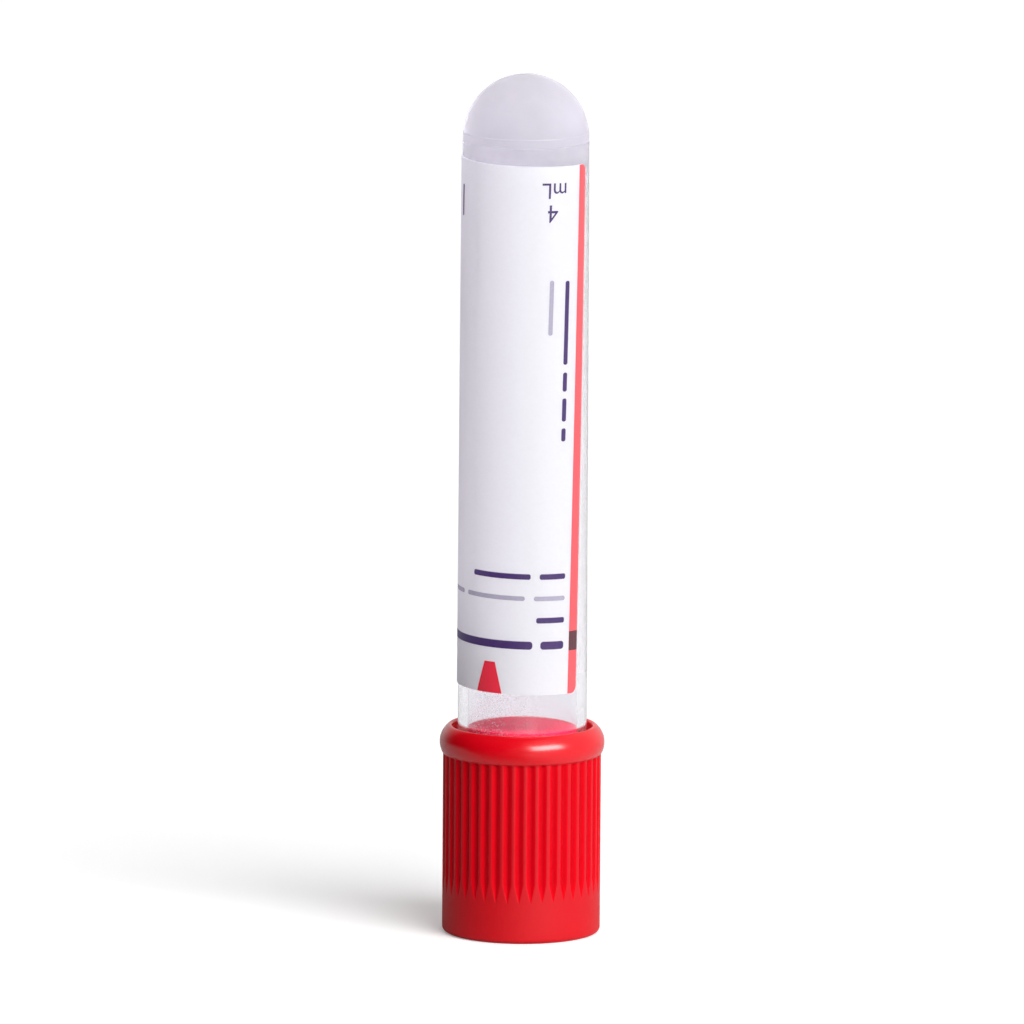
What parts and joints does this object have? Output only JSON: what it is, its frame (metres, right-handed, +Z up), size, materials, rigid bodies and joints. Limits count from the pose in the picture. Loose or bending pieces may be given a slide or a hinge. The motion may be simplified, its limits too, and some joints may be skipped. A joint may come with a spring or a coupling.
{
  "type": "blood collection tube",
  "caption": "Round-bottomed clear plastic blood tube with a paper label, a rubber stopper and a red fluted pull-off safety closure, standing on the closure.",
  "frame": {"origin": "centre of the closure's flat outer end, on the surface that it stands on", "axes": "+Z up along the tube's axis, from the closure towards the round end; the label's front faces -Y and its coloured edge faces +X"},
  "size_m": [0.0164, 0.0164, 0.0866],
  "materials": {
    "shield_plastic": "satin moulded polyethylene",
    "stopper_rubber": "matt butyl rubber",
    "tube_plastic": "clear polished PET",
    "label_paper": "smooth white coated paper with printing"
  },
  "bodies": {
    "closure": {"shield": "shield_plastic", "stopper": "stopper_rubber"},
    "tube": {"tube": "tube_plastic", "label": "label_paper"}
  },
  "joints": [
    {"name": "closure_pull", "type": "slide", "parent": "closure", "child": "tube", "axis": [0, 0, 1], "range_m": [0, 0.03]}
  ]
}
